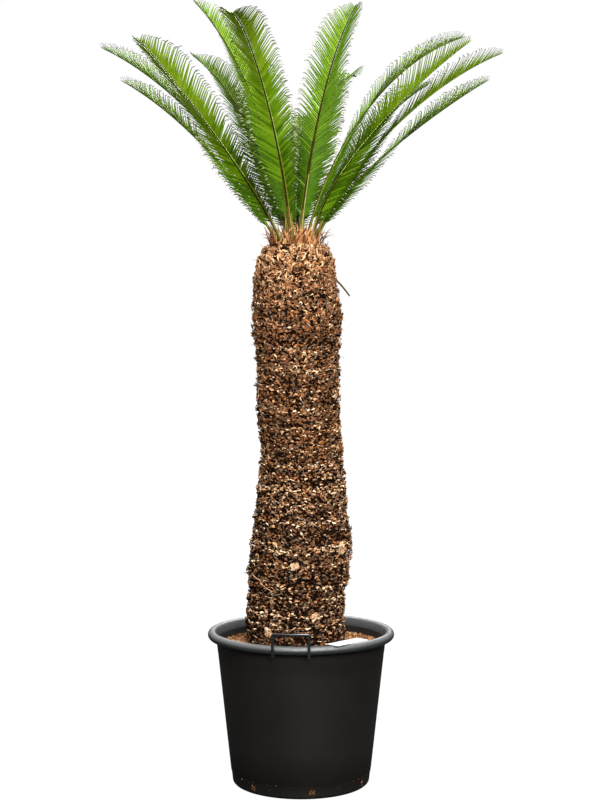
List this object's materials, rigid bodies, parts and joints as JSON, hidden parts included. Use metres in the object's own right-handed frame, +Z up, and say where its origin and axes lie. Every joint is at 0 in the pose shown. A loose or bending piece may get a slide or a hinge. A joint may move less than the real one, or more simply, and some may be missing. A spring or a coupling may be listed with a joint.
{
  "type": "sago palm in nursery pot",
  "caption": "Sago palm with a vase-shaped crown of feathery fronds on a thick scaly trunk, standing in a round tapered black nursery pot with carrying handles.",
  "frame": {"origin": "middle of the pot's flat underside", "axes": "+Z up along the trunk, -Y towards the front, +X to the right seen from the front"},
  "size_m": [1.0873, 1.1761, 2.1518],
  "materials": {
    "pot": "satin black moulded plastic",
    "soil": "loose brown potting soil",
    "handle_front": "black plastic bar",
    "handle_back": "black plastic bar",
    "blank_tag": "plain white tag",
    "trunk": "rough brown trunk of old leaf bases",
    "dead_stalk": "dry brown stalk",
    "crown_scales": "dry papery tan scales",
    "frond_back_arched": "glossy green leaflets",
    "frond_back_left": "glossy green leaflets",
    "frond_back_low_left": "glossy green leaflets",
    "frond_back_low_right": "glossy green leaflets",
    "frond_back_middle": "glossy green leaflets",
    "frond_back_right_low": "glossy green leaflets",
    "frond_front": "glossy green leaflets",
    "frond_front_left": "glossy green leaflets",
    "frond_front_right": "glossy green leaflets",
    "frond_left_high": "glossy green leaflets",
    "frond_left_low": "glossy green leaflets",
    "frond_right_high": "glossy green leaflets",
    "frond_right_low": "glossy green leaflets",
    "frond_right_middle": "glossy green leaflets",
    "frond_tall_left": "glossy green leaflets",
    "frond_tall_right": "glossy green leaflets"
  },
  "bodies": {
    "root": {"pot": "pot", "soil": "soil", "handle_front": "handle_front", "handle_back": "handle_back", "blank_tag": "blank_tag", "trunk": "trunk", "dead_stalk": "dead_stalk", "crown_scales": "crown_scales", "frond_back_arched": "frond_back_arched", "frond_back_left": "frond_back_left", "frond_back_low_left": "frond_back_low_left", "frond_back_low_right": "frond_back_low_right", "frond_back_middle": "frond_back_middle", "frond_back_right_low": "frond_back_right_low", "frond_front": "frond_front", "frond_front_left": "frond_front_left", "frond_front_right": "frond_front_right", "frond_left_high": "frond_left_high", "frond_left_low": "frond_left_low", "frond_right_high": "frond_right_high", "frond_right_low": "frond_right_low", "frond_right_middle": "frond_right_middle", "frond_tall_left": "frond_tall_left", "frond_tall_right": "frond_tall_right"}
  },
  "joints": []
}
